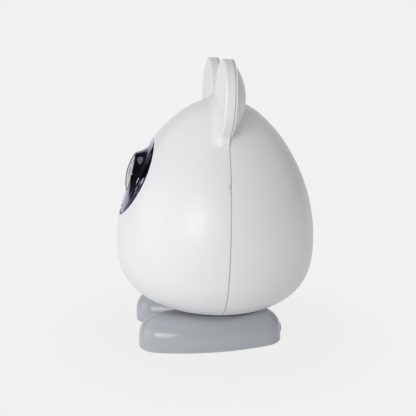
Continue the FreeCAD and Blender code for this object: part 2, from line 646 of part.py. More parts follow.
def hopper_solid(name, inset, top):
    """Return the funnel and box of the hopper, drawn in by an inset."""
    funnel = doc.addObject("Part::Wedge", name + "_funnel")
    funnel.Placement = Placement(Vector(), Rotation(X_AXIS, 90))
    side = f"hopper_half_width - {inset}"
    throat = f"{THROAT_SIDE} + hopper_wall - {inset}"
    bind(funnel, Ymin="0", Ymax="funnel_rise",
         Xmin=f"-({throat})", Xmax=throat, X2min=f"-({side})", X2max=side,
         Zmin=f"-({THROAT_BACK}) - hopper_wall + {inset}", Zmax=f"-({THROAT_FRONT}) + hopper_wall - {inset}",
         Z2min=f"{inset} - ({HOPPER_BACK})", Z2max=f"hopper_front - {inset}")
    put(funnel, "0", "0", HOUSING_TOP)
    upper = box(name + "_box", (f"-({side})", side), (f"{inset} - hopper_front", f"{HOPPER_BACK} - {inset}"),
                (FUNNEL_TOP, top))
    return fuse(name, funnel, upper)


hopper_outside = hopper_solid("hopper_outside", "0", "egg_rise")
hopper_inside = hopper_solid("hopper_inside", "hopper_wall", "2 * egg_rise")
hopper_room = egg("hopper_room", "-wall - gap - seal_thickness")
hopper_walls = cut("hopper_walls", hopper_outside, hopper_inside)
seal_room = egg("seal_room", "-wall - gap")
part("hopper", common("hopper_body", hopper_walls, hopper_room))
part("hopper_seal", cut("hopper_seal_body", common("hopper_seal_band", hopper_walls, seal_room), hopper_room))

# The portion drum and its housing

DRUM_AXIS = ("drum_back", "drum_up")
DRUM_SIDE = "drum_length / 2"
DRUM_ROOM_SIDE = f"{DRUM_SIDE} + gap"
HOUSING_SIDE = f"{DRUM_ROOM_SIDE} + housing_wall"
HOUSING_REACH = "drum_radius + gap + housing_wall"
NECK_BACK = "kicker_radius"


def drum_block(name, grow, low, high):
    """Return the drum housing's block, grown all round, between two sides."""
    reach = f"{HOUSING_REACH} + {grow}"
    return box(name, (low, high), (f"drum_back - ({reach})", f"drum_back + {reach}"),
               (f"drum_up - ({reach})", f"drum_up + {reach}"))


drum_outside = drum_block("drum_outside", "0", f"-({DRUM_ROOM_SIDE})", HOUSING_SIDE)
drum_bore = rod("drum_bore", "drum_radius + gap", "x", f"-2 * ({DRUM_SIDE})", DRUM_ROOM_SIDE, DRUM_AXIS)
drum_inlet = box("drum_inlet", (f"-{THROAT_SIDE}", THROAT_SIDE), (THROAT_FRONT, THROAT_BACK),
                 ("drum_up", "drum_up + 2 * drum_radius"))
launch_neck = seat(box("launch_neck", (f"-{THROAT_SIDE}", THROAT_SIDE), ("0", "3 * kicker_radius"),
                       (f"-{NECK_BACK}", "0")), "launch")
drum_shaft_hole = rod("drum_shaft_hole", "shaft_radius + running_fit", "x",
                      "-2 * drum_length", "2 * drum_length", DRUM_AXIS)
part("drum_housing", cut("drum_housing_body", drum_outside, drum_bore, drum_inlet, launch_neck,
                         drum_shaft_hole))
end_plate = drum_block("end_plate", "0", f"-({HOUSING_SIDE})", f"-({DRUM_ROOM_SIDE})")
part("drum_end_plate", cut("drum_end_plate_body", end_plate, drum_shaft_hole))

SOCKET = "3 * shaft_radius"
gearmotor_back = f"-({HOUSING_SIDE}) - gearmotor_length"
gearmotor_can = rod("gearmotor_can", "gearmotor_radius", "x", gearmotor_back, f"-({HOUSING_SIDE})", DRUM_AXIS)
gearmotor_socket = rod("gearmotor_socket", "shaft_radius + running_fit", "x", f"-({HOUSING_SIDE}) - {SOCKET}",
                       "0", DRUM_AXIS)
part("drum_gearmotor", cut("drum_gearmotor_body", gearmotor_can, gearmotor_socket))
part("drum_shaft", rod("drum_shaft_rod", "shaft_radius", "x",
                       f"gap - ({HOUSING_SIDE}) - {SOCKET}", HOUSING_SIDE, DRUM_AXIS))


def portion_drum():
    """Return the drum with its pockets, its axis along x."""
    body = doc.addObject("PartDesign::Body", "drum_body")
    pad_of(body, circle_sketch(body, "drum_circle", "drum_radius"), "drum_pad", "drum_length")
    doc.recompute()
    scoop = body.newObject("PartDesign::Pocket", "drum_scoop")
    scoop.Profile = circle_sketch(body, "scoop_circle", "pocket_radius", "drum_radius - pocket_radius / 3")
    scoop.Reversed = True
    bind(scoop, Length="drum_length - wall")
    doc.recompute()
    pattern = body.newObject("PartDesign::PolarPattern", "drum_scoops")
    pattern.Originals = [scoop]
    pattern.Axis = (scoop.Profile[0], ["N_Axis"])
    pattern.Angle = 360
    bind(pattern, Occurrences="drum_pockets")
    body.Tip = pattern
    body.Placement = Placement(Vector(), TURNS["x"])
    put(body, f"-{DRUM_SIDE}", *DRUM_AXIS)
    return body


part("portion_drum", cut("drum_with_bore", portion_drum(),
                         rod("drum_hole", "shaft_radius", "x", "-drum_length", "drum_length", DRUM_AXIS)))

# The kicker wheel throws each treat along the launch tunnel

CHAMBER = "kicker_radius + kicker_gap"
TUNNEL_FLOOR = f"-({CHAMBER})"


def launch_block(name, low, high, grow):
    """Return the launch housing's chamber, tunnel and neck between two sides, grown all round."""
    chamber = rod(name + "_chamber", f"{CHAMBER} + {grow}", "x", low, high)
    tunnel = box(name + "_tunnel", (low, high),
                 (f"{TUNNEL_FLOOR} - ({grow})", f"{TUNNEL_FLOOR} + tunnel_height + {grow}"),
                 ("0", "tunnel_length + kicker_radius"))
    neck = box(name + "_neck", (low, high), ("0", "3 * kicker_radius"), (f"-{NECK_BACK} - ({grow})", grow))
    return seat(fuse(name, chamber, tunnel, neck), "launch")


LAUNCH_WALL = f"{THROAT_SIDE} + housing_wall"
outlet_room = rod("outlet_room", "flap_pin_depth + 2 * gap", "x", "-2 * flap_width", "2 * flap_width",
                  FLAP_PIN)
drum_room = drum_block("drum_room", "0", f"-({HOUSING_SIDE})", HOUSING_SIDE)
above_drum = box("above_drum", WIDE, WIDE, ("drum_up", WIDE[1]))
kicker_hole = seat(rod("kicker_hole", "shaft_radius + running_fit", "x",
                       "-2 * drum_length", "2 * drum_length"), "launch")


def launch_piece(name, low, high, hollow):
    """Return a piece of the launch housing, trimmed to the egg, the flap's pin and the drum housing."""
    block = launch_block(name + "_block", low, high, "housing_wall")
    tools = [outlet_room, drum_room, above_drum, kicker_hole]
    if hollow:
        tools.append(launch_block(name + "_space", f"-{THROAT_SIDE}", f"{THROAT_SIDE} + 1", "0"))
    return cut(name, common(name + "_trimmed", block, egg_lining), *tools)


part("launch_housing", launch_piece("launch_shell", f"-({LAUNCH_WALL})", THROAT_SIDE, True))
part("launch_side_plate", launch_piece("launch_plate", THROAT_SIDE, LAUNCH_WALL, False))

WHEEL_SIDE = f"{THROAT_SIDE} - 1"
PADDLE_ROOT = "0.8 * kicker_hub"
wheel_hub = rod("wheel_hub", "kicker_hub", "x", f"-({WHEEL_SIDE})", WHEEL_SIDE)


def paddle(count):
    """Return one paddle of the kicker wheel, turned to its place."""
    blade = box(f"blade_{count}", (f"-({WHEEL_SIDE})", WHEEL_SIDE),
                ("-paddle_thickness / 2", "paddle_thickness / 2"), (PADDLE_ROOT, "kicker_radius"))
    turned = group(f"paddle_{count}", blade)
    turned.Placement = Placement(Vector(), Rotation(X_AXIS, 1))
    bind(turned, Placement__Rotation__Angle=f"360 * {count} / kicker_paddles")
    return turned


paddles = fuse("paddles", *[paddle(count) for count in range(int(size("kicker_paddles")))])
kicker_bore = rod("kicker_bore", "shaft_radius", "x", "-tunnel_width", "tunnel_width")
part("kicker_hub", seat(cut("kicker_hub_body", wheel_hub, kicker_bore, paddles), "launch"))
part("kicker_paddles", seat(paddles, "launch"))
SHAFT_END = f"{LAUNCH_WALL} + {SOCKET}"
kicker_shaft = rod("kicker_shaft_rod", "shaft_radius", "x", f"-({LAUNCH_WALL})", f"{SHAFT_END} - gap")
part("kicker_shaft", seat(kicker_shaft, "launch"))
kicker_can = rod("kicker_can", "motor_radius", "x", LAUNCH_WALL, f"{LAUNCH_WALL} + motor_length")
kicker_socket = rod("kicker_socket", "shaft_radius + running_fit", "x", "0", SHAFT_END)
part("kicker_motor", seat(cut("kicker_motor_body", kicker_can, kicker_socket), "launch"))

# Pan drive: the pinion rolls round a gear that is fixed to the base

GEAR_BOTTOM = "gear_lift - base_level"
GEAR_TOP = f"{GEAR_BOTTOM} + gear_width"
GEAR_DISTANCE = "gear_module * (ring_teeth + pinion_teeth) / 2 + mesh_gap"
PRESSURE_ANGLE = math.radians(20)


def involute(radius, base_radius):
    """Return the angle that an involute has turned when it reaches a radius."""
    slope = math.acos(min(base_radius / radius, 1))
    return math.tan(slope) - slope


def tooth_points(teeth):
    """Return the corners of one tooth and the middles of its flanks, for a tooth along x."""
    module = size("gear_module")
    pitch_radius = module * teeth / 2
    base_radius = pitch_radius * math.cos(PRESSURE_ANGLE)
    root_radius = pitch_radius - 1.25 * module
    half_tooth = math.pi / (2 * teeth) + involute(pitch_radius, base_radius)
    flank_start = max(base_radius, root_radius)
    radii = (root_radius * 0.9, flank_start, pitch_radius, pitch_radius + size("tooth_height") * module)
    angles = [half_tooth - involute(max(radius, flank_start), base_radius) for radius in radii]
    return [[Vector(radius * math.cos(sign * angle), radius * math.sin(sign * angle), 0)
             for radius, angle in zip(radii, angles)] for sign in (-1, 1)]


def gear(name, teeth_alias, first_tooth):
    """Return an external gear, its axis along z, its bottom at z = 0 and its first tooth at an angle."""
    teeth = int(size(teeth_alias))
    body = doc.addObject("PartDesign::Body", name)
    root = circle_sketch(body, name + "_root", f"gear_module * ({teeth_alias} / 2 - 1.25)")
    pad_of(body, root, name + "_disc", "gear_width")
    doc.recompute()
    sketch = new_sketch(body, name + "_tooth_outline")
    right, left = tooth_points(teeth)
    right_in, right_base, right_middle, right_tip = right
    left_in, left_base, left_middle, left_tip = left
    sketch.addGeometry(Part.LineSegment(right_in, right_base))
    sketch.addGeometry(Part.Arc(right_base, right_middle, right_tip))
    sketch.addGeometry(Part.LineSegment(right_tip, left_tip))
    sketch.addGeometry(Part.Arc(left_tip, left_middle, left_base))
    sketch.addGeometry(Part.LineSegment(left_base, left_in))
    sketch.addGeometry(Part.LineSegment(left_in, right_in))
    tooth = pad_of(body, sketch, name + "_tooth", "gear_width")
    doc.recompute()
    pattern = body.newObject("PartDesign::PolarPattern", name + "_teeth")
    pattern.Originals = [tooth]
    pattern.Axis = (root, ["N_Axis"])
    pattern.Angle = 360
    bind(pattern, Occurrences=teeth_alias)
    body.Tip = pattern
    body.Placement = Placement(Vector(), Rotation(Z_AXIS, first_tooth))
    return body


def hub_rods(name, radius, low, high):
    """Return one rod at each screw of the fixed gear."""
    reach = "(hub_radius + hub_bore) / 2"
    places = ((reach, "0"), ("0", reach), (f"-{reach}", "0"), ("0", f"-{reach}"))
    return fuse(name, *[rod(f"{name}_{count}", radius, "z", low, high, place)
                        for count, place in enumerate(places, start=1)])


# The pinion stands behind the fixed gear, where a tooth of that gear meets a gap of its own
BACKWARDS = 90
ring_gear = put(gear("ring_gear_body", "ring_teeth", BACKWARDS), "0", "0", GEAR_BOTTOM)
cable_hole = rod("cable_hole", "hub_bore", "z", "-1.25 * base_level", "base_level")
hub_screw_holes = hub_rods("hub_screw_hole", "screw_radius", f"{GEAR_TOP} - screw_length", "0")
part("pan_ring_gear", cut("pan_ring_gear_body", ring_gear, cable_hole, hub_screw_holes))
hub_screws = fuse("hub_screw_pieces",
                  hub_rods("hub_shank", "screw_radius", f"{GEAR_TOP} - screw_length", GEAR_TOP),
                  hub_rods("hub_head", "screw_head_radius", GEAR_TOP, f"{GEAR_TOP} + screw_head_height"))
part("gear_screws", hub_screws)

half_pitch = 180 / size("pinion_teeth")
PINION_PLACE = ("0", GEAR_DISTANCE)
MOTOR_FLOOR = f"{GEAR_TOP} + 2 * wall"
pinion_gear = put(gear("pinion_gear_body", "pinion_teeth", BACKWARDS + half_pitch), *PINION_PLACE,
                  GEAR_BOTTOM)
pinion_shaft = rod("pinion_shaft", "shaft_radius", "z", GEAR_BOTTOM, f"{MOTOR_FLOOR} + {SOCKET} - gap",
                   PINION_PLACE)
part("pan_pinion", fuse("pan_pinion_body", pinion_gear, pinion_shaft))
pan_can = rod("pan_can", "gearmotor_radius", "z", MOTOR_FLOOR, f"{MOTOR_FLOOR} + gearmotor_length",
              PINION_PLACE)
pan_socket = rod("pan_socket", "shaft_radius + running_fit", "z", "-base_level", f"{MOTOR_FLOOR} + {SOCKET}",
                 PINION_PLACE)
part("pan_motor", cut("pan_motor_body", pan_can, pan_socket))

BRACKET_SIDE = "gearmotor_radius + 2 * wall"
bracket_plate = box("bracket_plate", (f"-({BRACKET_SIDE})", BRACKET_SIDE),
                    (f"{GEAR_DISTANCE} - gearmotor_radius", f"{GEAR_DISTANCE} + gearmotor_radius"),
                    (f"{MOTOR_FLOOR} - wall", MOTOR_FLOOR))
LEG_SIDES = {"left_leg": (f"{BRACKET_SIDE} - wall", BRACKET_SIDE),
             "right_leg": (f"-({BRACKET_SIDE})", f"wall - ({BRACKET_SIDE})")}
bracket_legs = [box(name, across, (f"{GEAR_DISTANCE} - wall", f"{GEAR_DISTANCE} + 2 * wall"),
                    ("-base_level", MOTOR_FLOOR)) for name, across in LEG_SIDES.items()]
bracket = fuse("bracket_body", bracket_plate, *bracket_legs)
part("motor_bracket", cut("motor_bracket_body", bracket, pan_socket))

# The head base is the bottom of the egg; it turns on the bearing and carries the inner frame

SLEEVE = "hub_radius + running_fit + bearing_wall"
bearing_hole = rod("bearing_hole", SLEEVE, "z", "-2 * base_level", "0")
part("head_base", cut("head_base_body", common("head_bottom", egg_outside, below_base), bearing_hole))
sleeve = rod("sleeve", SLEEVE, "z", "-egg_drop - bearing_flange", "-base_level")
flange = rod("flange", "pedestal_radius + bearing_wall", "z", "-egg_drop - bearing_flange", "-egg_drop")
neck_room = rod("neck_room", "hub_radius + running_fit", "z", "-2 * base_level", "0")
part("pan_bearing", cut("pan_bearing_body", fuse("bearing_body", sleeve, flange), neck_room))

gear_room = rod("gear_room", "gear_module * (ring_teeth / 2 + 2)", "z", "-2 * base_level",
                f"{GEAR_TOP} + screw_head_height + gap")
frame_block = box("frame_block", WIDE, (FRAME_FRONT, FRAME_BACK), ("-base_level", HOUSING_TOP))
kicker_room = seat(rod("kicker_room", "motor_radius + gap", "x", "0", f"{LAUNCH_WALL} + motor_length + gap"),
                   "launch")
frame_screw_holes = frame_rods("frame_screw_hole", "screw_radius", FRAME_FRONT, FRAME_BACK)
boss_room = magnet_rods("boss_room", f"{BOSS} + gap", "-2 * magnet_radius", "0")
frame_launch_room = launch_block("frame_launch_room", f"-({LAUNCH_WALL}) - gap", f"{LAUNCH_WALL} + gap",
                                 "housing_wall + gap")
frame_drum_room = drum_block("frame_drum_room", "gap", f"-({HOUSING_SIDE}) - gap", f"{HOUSING_SIDE} + gap")
inner_frame = cut("inner_frame_body", common("frame_plate", frame_block, egg_lining), gear_room, kicker_room,
                  frame_launch_room, frame_drum_room, frame_screw_holes, boss_room)

# Electronics on the inner frame: main board on posts, and a speaker

BOARD_LEFT = "-tunnel_width / 2 - housing_wall - 2 * gap - 2"
BOARD_X = (f"{BOARD_LEFT} - board_width", BOARD_LEFT)
BOARD_Z = ("-board_height / 4", "3 * board_height / 4")
BOARD_Y = ("-frame_forward - post_length - board_thickness", "-frame_forward - post_length")
POST_INSET = "screw_head_radius + 1"


def board_rods(name, radius, low, high):
    """Return one rod at each corner of the main board."""
    places = [(x, z) for x in (f"{BOARD_X[0]} + {POST_INSET}", f"{BOARD_X[1]} - ({POST_INSET})")
              for z in (f"{BOARD_Z[0]} + {POST_INSET}", f"{BOARD_Z[1]} - ({POST_INSET})")]
    return fuse(name, *[rod(f"{name}_{count}", radius, "y", low, high, place)
                        for count, place in enumerate(places, start=1)])


board_posts = board_rods("board_post", "screw_head_radius", BOARD_Y[1], FRAME_FRONT)
part("inner_frame", fuse("frame_with_posts", inner_frame, board_posts))
board_plate = box("board_plate", BOARD_X, BOARD_Y, BOARD_Z)
board_holes = board_rods("board_hole", "screw_radius", BOARD_Y[0], BOARD_Y[1])
part("main_board", cut("main_board_body", board_plate, board_holes))
board_screws = fuse("board_screw_pieces",
                    board_rods("board_shank", "screw_radius", BOARD_Y[0], BOARD_Y[1]),
                    board_rods("board_head", "screw_head_radius", f"{BOARD_Y[0]} - screw_head_height",
                               BOARD_Y[0]))
part("board_screws", board_screws)
# Chips on the main board: shares of its width and height at the chip's left and middle, then side and depth
CHIPS = [(0.3, 0.3, 12, 2), (0.55, 0.62, 9, 1.5), (0.3, 0.75, 6, 4)]


def chip(count, across, up, side, depth):
    """Return one square chip on the front of the main board."""
    left = f"{BOARD_X[0]} + {across} * board_width"
    middle = f"{BOARD_Z[0]} + {up} * board_height"
    return box(f"chip_{count}", (left, f"{left} + {side}"), (f"{BOARD_Y[0]} - {depth}", BOARD_Y[0]),
               (f"{middle} - {side} / 2", f"{middle} + {side} / 2"))


part("board_chips", group("chip_set", *[chip(count, *facts) for count, facts in enumerate(CHIPS, start=1)]))

SPEAKER_PLACE = ("0.5 * -egg_radius", "-0.38 * egg_radius")
part("speaker", fuse("speaker_body",
                     rod("speaker_rim", "speaker_radius", "y", FRAME_BACK,
                         f"{FRAME_BACK} + speaker_depth / 3", SPEAKER_PLACE),
                     rod("speaker_magnet", "0.6 * speaker_radius", "y", FRAME_BACK,
                         f"{FRAME_BACK} + speaker_depth", SPEAKER_PLACE)))

# The two shells

front_parts = fuse("front_parts", common("front_wall", egg_shell, front_half), *ear_fronts, shell_bosses,
                   screw_bosses, common("flap_ears_inside", flap_ears, front_half))
flap_pin_hole = rod("flap_pin_hole", "pin_radius", "x", f"-({GRIP})", GRIP, FLAP_PIN)
part("front_shell", cut("front_shell_body", front_parts, rim_hole, outlet, flap_pin_hole, catches, base_room))
rear_parts = fuse("rear_parts", common("rear_wall", egg_shell, rear_half), *ear_rears, cover_bosses)
part("rear_cover", cut("rear_cover_body", rear_parts, magnets, base_room))


def spring(name, turns, radius, wire):
    """Return a coil spring standing on z = 0, as closed rings of wire."""
    rings = []
    for count in range(turns):
        ring = doc.addObject("Part::Torus", f"{name}_{count}")
        bind(ring, Radius1=radius, Radius2=wire)
        rings.append(put(ring, "0", "0", f"{wire} * (2 * {count} + 1)"))
    return rings


FLAP_COILS = 7
FLAP_COIL_RADIUS = "pin_radius + spring_gap + spring_wire"
coils = group("flap_coils", *spring("flap_coil", FLAP_COILS, FLAP_COIL_RADIUS, "spring_wire"))
coils.Placement = Placement(Vector(), TURNS["x"])
put(coils, f"-{FLAP_COILS} * spring_wire", *FLAP_PIN)
part("flap_spring", coils)

# The base: a plate with a pedestal stands on pads, under two foot shells

foot_gap_egg = seat(egg("foot_gap_egg", "foot_clearance"), "head", "foot_gap_egg_placed")
foot_wall_egg = seat(egg("foot_wall_egg", "foot_clearance + wall"), "head", "foot_wall_egg_placed")
pedestal_rod = seat(rod("pedestal_rod", "pedestal_radius", "z",
                        "plate_thickness - waist_height", "-pedestal_level"), "head", "pedestal")
neck_rod = seat(rod("neck_rod", "hub_radius", "z", "-1.2 * base_level", GEAR_BOTTOM), "head", "neck")
hub_cable_hole = seat(rod("hub_cable_rod", "hub_bore", "z", "-1.35 * base_level", "0"), "head",
                      "hub_cable_hole")
hub_pilots = seat(hub_rods("hub_pilot", "screw_radius", f"{GEAR_TOP} - screw_length", "0"), "head",
                  "hub_pilots_placed")
pedestal_room = seat(rod("pedestal_room_rod", "pedestal_radius + bearing_wall + 2 * gap", "z",
                         "-1.5 * base_level", "-0.9 * base_level"), "head", "pedestal_room")
PLATE = ("pad_height", "pad_height + plate_thickness")
BRIDGE = "pedestal_radius"
bridge = box("bridge", ("-foot_spread", "foot_spread"), (f"-{BRIDGE}", BRIDGE), PLATE)
bridge_room = box("bridge_room", ("-foot_spread", "foot_spread"), (f"-{BRIDGE} - gap", f"{BRIDGE} + gap"),
                  ("0", f"{PLATE[1]} + gap"))
cable_way = box("cable_way", ("-foot_spread", "0"), ("-hub_bore / 2", "hub_bore / 2"),
                (f"{PLATE[1]} + wall", f"{PLATE[1]} + wall + hub_bore"))


def oval(name, inset, low, high):
    """Return a foot's plan as a solid: round toe and heel, joined by gentle arcs."""
    body = doc.addObject("PartDesign::Body", name)
    sketch = new_sketch(body, name + "_plan")
    reach = "(foot_length / 2 - toe_radius)"
    side = (f"(({reach} ^ 2 + (foot_width / 2) ^ 2 - toe_radius ^ 2)"
            f" / (2 * (foot_width / 2 - toe_radius)) - ({inset}))")
    end = f"(toe_radius - ({inset}))"
    reach_now, side_now, end_now = value_of(reach), value_of(side), value_of(end)
    offset = side_now + size("toe_radius") - end_now - size("foot_width") / 2
    turn = math.atan2(reach_now, offset)
    ends = ((0, reach_now, end_now, turn, math.pi - turn), (-offset, 0, side_now, -turn, turn),
            (0, -reach_now, end_now, math.pi + turn, 2 * math.pi - turn),
            (offset, 0, side_now, math.pi - turn, math.pi + turn))
    for x, y, radius, first, last in ends:
        circle = Part.Circle(Vector(x, y, 0), Z_AXIS, radius)
        sketch.addGeometry(Part.ArcOfCircle(circle, first, last))
    heel, right, toe, left = range(4)
    for one, one_end, other, other_end in ((right, END, heel, START), (heel, END, left, START),
                                           (left, END, toe, START), (toe, END, right, START)):
        sketch.addConstraint(Sketcher.Constraint("Tangent", one, one_end, other, other_end))
    for arc, place in ((heel, reach), (toe, f"-{reach}")):
        sketch.addConstraint(Sketcher.Constraint("PointOnObject", arc, CENTRE, V_AXIS))
        constrain(sketch, "DistanceY", (arc, CENTRE), place)
        constrain(sketch, "Radius", (arc,), end)
    for arc in (right, left):
        constrain(sketch, "Radius", (arc,), side)
    pad_of(body, sketch, name + "_pad", f"({high}) - ({low})")
    return put(body, "0", "0", low)


def foot_form(name, inset, low):
    """Return a foot's form: the oval with a large round shoulder, drawn in by an inset."""
    block = oval(name + "_oval", inset, low, f"foot_top - ({inset})")
    doc.recompute()
    top = value_of(f"foot_top - ({inset})")
    shoulder = value_of(f"foot_shoulder - ({inset})")
    rounded = doc.addObject("Part::Fillet", name)
    rounded.Base = block
    rounded.Edges = [(number, shoulder, shoulder) for number, edge in enumerate(block.Shape.Edges, start=1)
                     if edge.BoundBox.ZMin > top - size("gap")]
    return rounded


def foot(side):
    """Return one foot shell, hollow from below, with its saddle under the head."""
    frame = side + " foot"
    outside = foot_form(side + "_form", "0", "pad_height")
    room_placed = cut(side + "_hollow", seat(foot_form(side + "_room", "wall", "0"), frame), foot_wall_egg)
    posts = seat(foot_rods(side + "_post", "screw_radius + post_wall", PLATE[1], "foot_top"), frame)
    posts_inside = common(side + "_posts", posts, room_placed)
    pilots = seat(foot_rods(side + "_foot_pilot", "screw_radius", "0", f"{PLATE[1]} + screw_length"), frame)
    rear_hole = inlet_hole if side == "right" else button_hole
    shell = fuse(side + "_shell", cut(side + "_walls", seat(outside, frame), room_placed), posts_inside)
    part(side + "_foot", cut(side + "_foot_body", shell, foot_gap_egg, pedestal_room, bridge_room, pilots,
                             seat(rear_hole, frame)), None)


def foot_rods(name, radius, low, high):
    """Return a rod near the toe and one near the heel, in a foot's frame."""
    return fuse(name, rod(name + "_toe", radius, "z", low, high, ("0", "-pad_reach")),
                rod(name + "_heel", radius, "z", low, high, ("0", "pad_reach")))


# Power inlet in the right heel, power button in the left heel

HEEL = "foot_length / 2"
REAR_PLACE = ("0", "rear_part_height")
INLET_FACE = f"{HEEL} - wall - gap - 1"
INLET_HALF = "1.25 * inlet_radius"
inlet_hole = rod("inlet_hole", "inlet_radius", "y", f"{INLET_FACE} - 1", f"{HEEL} + 1", REAR_PLACE)
button_hole = rod("button_hole", "button_radius + gap", "y", f"{INLET_FACE} - 2", f"{HEEL} + 1", REAR_PLACE)
inlet_block = box("inlet_block", (f"-{INLET_HALF}", INLET_HALF),
                  (f"{INLET_FACE} - inlet_depth", INLET_FACE),
                  (f"rear_part_height - {INLET_HALF}", f"rear_part_height + {INLET_HALF}"))
PLUG_END = f"{INLET_FACE} - 0.8 * inlet_depth"
plug_room = rod("plug_room", "inlet_radius", "y", PLUG_END, f"{INLET_FACE} + 1", REAR_PLACE)
inlet_pin = rod("inlet_pin", "inlet_radius / 3", "y", PLUG_END, INLET_FACE, REAR_PLACE)
inlet = fuse("power_inlet_body", cut("inlet_body", inlet_block, plug_room), inlet_pin)
part("power_inlet", seat(inlet, "right foot"), None)

COLLAR_BACK = f"{INLET_FACE} - wall"
COLLAR_FRONT = f"{COLLAR_BACK} + 0.5 * wall"
button = fuse("button_body",
              rod("button_cap", "button_radius", "y", COLLAR_BACK, f"{HEEL} + button_proud", REAR_PLACE),
              rod("button_collar", "button_radius + 1", "y", COLLAR_BACK, COLLAR_FRONT, REAR_PLACE))
part("power_button", seat(button, "left foot"), None)
BUTTON_COILS = 4
SPRING_BACK = f"{COLLAR_BACK} - 2 * {BUTTON_COILS} * spring_wire"
SWITCH_FACE = f"{SPRING_BACK} - button_travel - gap"
button_coils = group("button_coils",
                     *spring("button_coil", BUTTON_COILS, "0.6 * button_radius", "spring_wire"))
button_coils.Placement = Placement(Vector(), TURNS["y"])
put(button_coils, "0", SPRING_BACK, "rear_part_height")
part("button_spring", seat(button_coils, "left foot"), None)
button_switch = box("switch_block", ("-button_radius", "button_radius"),
                    (f"{SWITCH_FACE} - wall", SWITCH_FACE), (PLATE[1], "rear_part_height + button_radius"))
part("button_switch", seat(button_switch, "left foot"), None)

# Base plate, pads, screws and ballast, foot by foot

plates, pads, base_shanks, ballast = [], [], [], []
for side, sign in SIDES:
    foot(side)
    frame = side + " foot"
    plate = cut(side + "_plate", oval(side + "_plate_oval", "wall + gap", *PLATE),
                foot_rods(side + "_sink", "screw_head_radius", PLATE[0], f"{PLATE[0]} + screw_head_height"),
                foot_rods(side + "_through", "screw_radius", PLATE[0], PLATE[1]))
    plates.append(seat(plate, frame))
    pads.append(seat(foot_rods(side + "_pad", "pad_radius", "0", "pad_height"), frame))
    base_shanks.append(seat(fuse(side + "_screws",
                                 foot_rods(side + "_head", "screw_head_radius", PLATE[0],
                                           f"{PLATE[0]} + screw_head_height"),
                                 foot_rods(side + "_shank", "screw_radius", PLATE[0],
                                           f"{PLATE[1]} + screw_length")), frame))
    inner, outer = "screw_radius", "screw_radius + ballast_width"
    across = (inner, outer) if sign > 0 else (f"-({outer})", f"-{inner}")
    ballast.append(seat(box(side + "_ballast", across, ("-ballast_length / 2", "ballast_length / 2"),
                            (PLATE[1], f"{PLATE[1]} + ballast_height")), frame))
part("foot_pads", fuse("pads", *pads), None)
part("base_screws", fuse("base_screw_pieces", *base_shanks), None)
part("ballast_plates", fuse("ballast", *ballast), None)
part("base_frame", cut("base_frame_body", fuse("base_body", *plates, bridge, pedestal_rod, neck_rod),
                       hub_cable_hole, cable_way, hub_pilots), None)


def check_and_write():
    """Check every object and every sub-part's shape, then write one file for each sub-part."""
    doc.recompute()
    failed = [thing.Name for thing in doc.Objects if "Invalid" in thing.State or "Error" in thing.State]
    bad = [piece.Label for piece in PARTS if piece.Shape.isNull() or not piece.Shape.isValid()]
    empty = [piece.Label for piece in PARTS if not piece.Shape.Solids]
    if failed or bad or empty:
        raise RuntimeError(f"failed objects {failed}, bad shapes {bad}, without a solid {empty}")
    os.makedirs("parts", exist_ok=True)
    for piece in PARTS:
        piece.Shape.exportStep(f"parts/{piece.Label}.step")
        print(piece.Label, len(piece.Shape.Solids), "solids", round(piece.Shape.Volume, 1), "mm3")


check_and_write()
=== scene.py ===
# %% [markdown]
# # A treat tossing pet camera
# The object is an egg of white plastic on two grey feet, with round ears and a black face that
# holds a camera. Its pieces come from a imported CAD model, at their real size and place. This script
# leaves them there and gives them their finish, adds the small trim that a CAD model leaves out,
# and builds a soft studio round them.

# %% Load the CAD pieces
import json
import math

import bpy
from mathutils import Matrix, Vector


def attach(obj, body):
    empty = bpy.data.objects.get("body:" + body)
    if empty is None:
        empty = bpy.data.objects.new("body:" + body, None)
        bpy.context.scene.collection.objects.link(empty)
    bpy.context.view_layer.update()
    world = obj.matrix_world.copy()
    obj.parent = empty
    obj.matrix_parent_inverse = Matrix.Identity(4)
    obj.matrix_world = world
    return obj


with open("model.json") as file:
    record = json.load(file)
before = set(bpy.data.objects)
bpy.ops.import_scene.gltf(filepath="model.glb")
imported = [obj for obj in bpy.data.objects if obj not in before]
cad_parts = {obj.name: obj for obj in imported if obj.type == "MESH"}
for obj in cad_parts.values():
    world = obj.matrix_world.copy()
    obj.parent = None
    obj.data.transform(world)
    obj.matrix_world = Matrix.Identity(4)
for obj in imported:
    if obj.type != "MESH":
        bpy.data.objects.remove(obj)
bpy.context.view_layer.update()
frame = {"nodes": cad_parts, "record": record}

# %% [markdown]
# Everything in Blender is in metres, but plastic parts are thought of in millimetres, so one value
# turns one into the other. Colours are read off a screen as hex codes, which are brighter in the
# middle than light is. The shaders want light, so one function turns the code into linear red,
# green and blue.

# %% Units and colours
MM = 0.001


def linear(code):
    """The linear colour, with alpha 1, of a hex code such as "F0F0EE"."""
    channels = [int(code[place:place + 2], 16) / 255 for place in (0, 2, 4)]
    light = [c / 12.92 if c <= 0.04045 else ((c + 0.055) / 1.055) ** 2.4 for c in channels]
    return (*light, 1.0)


print("mid grey in light:", round(linear("808080")[0], 3))

# %% [markdown]
# A photographer shoots such a product from its side with a longish lens, a little above its middle,
# so that the shape isn't stretched. The camera stands 0.57 m from the object's middle and looks
# slightly down.

# %% Camera
AIM = Vector((0.0, 0.0, 0.11))
CAMERA_PLACE = Vector((0.55723, -0.07735, 0.22763))
CAMERA_LOOK = Vector((-0.96776, 0.12454, -0.21893))
LENS_LENGTH = 62.76
SENSOR_WIDTH = 36.0
CLIP_START = 0.01

